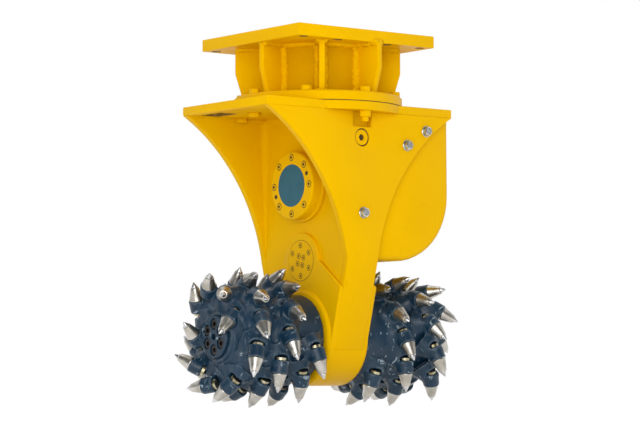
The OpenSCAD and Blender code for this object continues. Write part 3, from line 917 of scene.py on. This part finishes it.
def skin(field, low, high, cell):
    """Four-sided faces over a field's zero level, with one point in each cell that it crosses."""
    lines = [np.arange(a, b + cell, cell) for a, b in zip(low, high)]
    layers = []
    for x in lines[0]:
        layer = np.stack(np.meshgrid(x, *lines[1:], indexing="ij"), axis=-1)
        layers.append(field.distance(layer.reshape(-1, 3))[0].reshape(layer.shape[1:3]) < 0.0)
    inside = np.stack(layers)
    nx, ny, nz = (count - 1 for count in inside.shape)
    corner_sum = sum(inside[i:i + nx, j:j + ny, k:k + nz].astype(np.int8)
                     for i in (0, 1) for j in (0, 1) for k in (0, 1))
    crossed = (corner_sum > 0) & (corner_sum < 8)
    number = np.full(crossed.shape, -1)
    number[crossed] = np.arange(crossed.sum())
    quads = []
    for axis in range(3):
        order = (axis, (axis + 1) % 3, (axis + 2) % 3)
        here, cells = inside.transpose(order)[:, 1:-1, 1:-1], number.transpose(order)
        i, j, k = np.nonzero(here[:-1] != here[1:])
        quad = np.stack([cells[i, j, k], cells[i, j + 1, k],
                         cells[i, j + 1, k + 1], cells[i, j, k + 1]], axis=1)
        turned_in = ~here[i, j, k]
        quad[turned_in] = quad[turned_in, ::-1]
        quads.append(quad)
    mesh = bpy.data.meshes.new("skin")
    points = ((np.argwhere(crossed) + 0.5) * cell + np.array(low)) * MM
    mesh.from_pydata(points, [], np.concatenate(quads).tolist())
    return mesh


def mesh_values(source, key, width, kind=np.float32):
    """The values that a mesh keeps for its points or edges, as rows."""
    values = np.empty(len(source) * width, kind)
    source.foreach_get(key, values)
    return values.reshape(-1, width)


def neighbour_mean(ends, values, count):
    """The mean of a value over the neighbours of each point of a mesh."""
    near_count = np.bincount(ends.ravel(), minlength=count).clip(1)
    total = np.stack([np.bincount(ends[:, 0], values[ends[:, 1], k], count)
                      + np.bincount(ends[:, 1], values[ends[:, 0], k], count)
                      for k in range(values.shape[1])], axis=1)
    return total / near_count[:, None]


def drawn_on(mesh, field, rounds, last_rounds, smooth):
    """Moves a mesh's points along their normals onto a field; all but the last rounds even them."""
    longest_step, step_share = 3.0, 0.9
    ends = mesh_values(mesh.edges, "vertices", 2, np.int32)
    points = mesh_values(mesh.vertices, "co", 3).astype(float) / MM
    for round_k in range(rounds):
        step = field.distance(points)[0].clip(-longest_step, longest_step)
        points -= step_share * step[:, None] * mesh_values(mesh.vertex_normals, "vector", 3)
        if round_k < rounds - last_rounds:
            points += smooth * (neighbour_mean(ends, points, len(points)) - points)
        mesh.vertices.foreach_set("co", (points * MM).astype(np.float32).ravel())
        mesh.update()
    return points


def welded_drum(places):
    """The left drum's body, with how far it bends and where it is welded kept at each point."""
    cell, probe, bend_gain = 2.33, 2.5, 4.0
    room_out, room_in, room_r = -310.0, -59.0, 145.0
    field = DrumField(places)
    mesh = skin(field, (room_out, -room_r, axis_z - room_r),
                (room_in, room_r, axis_z + room_r), cell)
    piece = bpy.data.objects.new("drum", mesh)
    scene.collection.objects.link(piece)
    points = drawn_on(mesh, field, rounds=9, last_rounds=3, smooth=0.45)
    here, weld = field.distance(points)
    bend = sum(field.distance(points + side * probe * np.eye(3)[k])[0] - here
               for k in range(3) for side in (-1.0, 1.0))
    bend = (bend_gain * bend / probe ** 2).clip(-1.0, 1.0)
    for name, values in (("bend", bend), ("weld", weld)):
        kept = mesh.attributes.new(name, "FLOAT", "POINT")
        kept.data.foreach_set("value", values.astype(np.float32))
    alone(piece)
    bpy.ops.object.shade_smooth()
    return piece


left_drum = welded_drum(pick_places("left"))
right_drum = copied(left_drum, shaft_turn @ flip)
right_drum.data.flip_normals()
for side, drum in (("left", left_drum), ("right", right_drum)):
    finished(drum, "drum_" + side + "_welded", slate_paint, "cutter")
    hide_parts("drum_" + side)

# The picks: turned cones of tool steel with a brazed carbide point, free to spin in their holders.
# The cones show the lathe's lines; the split sleeves behind the holders are spring steel.


def turned_steel(name, dark, light, roughness):
    """Turned steel: rings from the lathe along its own axis, and stains."""
    steel = Finish(bpy.data.materials.new(name))
    along = steel.node("ShaderNodeAttribute", {"attribute_name": "along"}, out="Fac")
    rings = steel.node("ShaderNodeTexNoise", {"noise_dimensions": "1D"},
                       {"W": along, "Scale": 0.8, "Detail": 2.0})
    stain = speckle(steel, 30.0).rise(0.3, 0.75)
    return steel.shader(Base_Color=blend_tones(steel, stain, light, dark), Metallic=1.0,
                        Roughness=roughness + 0.06 * stain + 0.05 * rings,
                        Normal=bumped(steel, rings, 0.00002))


pick_steel = turned_steel("pick_steel", tone(156, 151, 140), tone(190, 187, 181), 0.27)
carbide = turned_steel("carbide", tone(160, 160, 160), tone(206, 206, 206), 0.22)
carbide_l, shank_from = 12.0, 42.0
pick_profile = [(0.0, 0.0), (1.3, 0.8), (5.9, 9.6), (6.5, 11.0), (6.5, 12.0), (8.0, 12.2),
                (8.7, 13.2), (11.7, 24.0), (15.0, 36.0), (16.3, 39.0), (16.5, 39.8), (16.0, 41.0),
                (10.0, 41.0), (10.0, 75.2), (9.2, 76.0), (0.0, 76.0)]


def one_pick():
    """A pick with its point at the origin and its shank down the axis."""
    piece = lathe([(r * MM, -depth * MM) for r, depth in pick_profile], 28)
    for steel in (pick_steel, carbide, dark_steel):
        piece.data.materials.append(steel)
    for face in piece.data.polygons:
        depth = -face.center.z
        # Past the holder's front the shank gets the dark steel as painted shade of the bore it sits
        # in.
        face.material_index = 1 if depth < carbide_l * MM else 2 if depth > shank_from * MM else 0
    along = piece.data.attributes.new("along", "FLOAT", "POINT")
    along.data.foreach_set("value", [-vertex.co.z / MM for vertex in piece.data.vertices])
    return smoothed(piece, 38.0)


pattern = one_pick()
for side in ("left", "right"):
    picks = joined([copied(pattern, place_at) for place_at in pick_places(side)])
    finished(picks, "picks_" + side + "_turned", None, "cutter")
    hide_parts("picks_" + side)
bpy.data.objects.remove(pattern)


def spring_steel(name):
    """Spring steel sleeves, brownish from heat, with bright rubbed spots."""
    sleeve = Finish(bpy.data.materials.new(name))
    patch = speckle(sleeve, 90.0, 4.0).rise(0.35, 0.65)
    return sleeve.shader(
        Base_Color=blend_tones(sleeve, patch, tone(138, 128, 94), tone(204, 197, 168)),
        Metallic=1.0, Roughness=0.30 + 0.15 * patch, Normal=bumped(sleeve, patch, 0.0002))


sleeve_steel = spring_steel("sleeve_steel")
for side in ("left", "right"):
    painted("sleeves_" + side, sleeve_steel)

# The hub caps: turned discs painted with the drums, each held by six black socket bolts that sit
# deep in their counterbores.


def black_oxide(name):
    """Blackened steel with a dull oily sheen and rubbed corners."""
    black = Finish(bpy.data.materials.new(name))
    patch = speckle(black, 160.0, 3.0).rise(0.4, 0.75)
    return black.shader(Base_Color=blend_tones(black, patch, tone(30, 30, 31), tone(62, 60, 57)),
                        Metallic=0.5, Roughness=0.38 + 0.2 * patch,
                        Normal=bumped(black, patch, 0.0001))


black_steel = black_oxide("black_steel")
cap_seat, cap_circle, cap_bolts_n = 279.0 * MM, 28.0 * MM, 6
cap_bolt_r, cap_bolt_h, cap_key, key_depth = 11.3 * MM, 8.0 * MM, 10.0 * MM, 5.6 * MM
for side in ("left", "right"):
    painted("hub_cap_" + side, slate_paint)


def cap_bolt():
    """A socket head bolt that faces +Z: plain side, eased rim, open hexagon socket."""
    body = lathe([(cap_bolt_r, 0.0), (cap_bolt_r, 0.85 * cap_bolt_h),
                  (0.93 * cap_bolt_r, cap_bolt_h), (0.74 * cap_bolt_r, cap_bolt_h)], 40)
    key = hexagon_rim(cap_key, cap_bolt_h)
    bpy.ops.object.mode_set(mode="EDIT")
    bpy.ops.mesh.select_all(action="SELECT")
    bpy.ops.mesh.extrude_region_move(TRANSFORM_OT_translate={"value": (0.0, 0.0, -key_depth)})
    bpy.ops.mesh.edge_face_add()
    bpy.ops.object.mode_set(mode="OBJECT")
    return smoothed(bridged(joined([body, key]), 0.75 * cap_bolt_r, cap_bolt_h), 35.0)


pattern = cap_bolt()
cap_bolts = []
for x, facing in ((-cap_seat, face_left), (cap_seat, face_right)):
    cap_bolts += screw_ring(pattern, cap_bolts_n, cap_circle, math.pi / 2, x, axis_z * MM, facing)
bpy.data.objects.remove(pattern)
finished(joined(cap_bolts), "hub_cap_bolts", black_steel, "cutter")
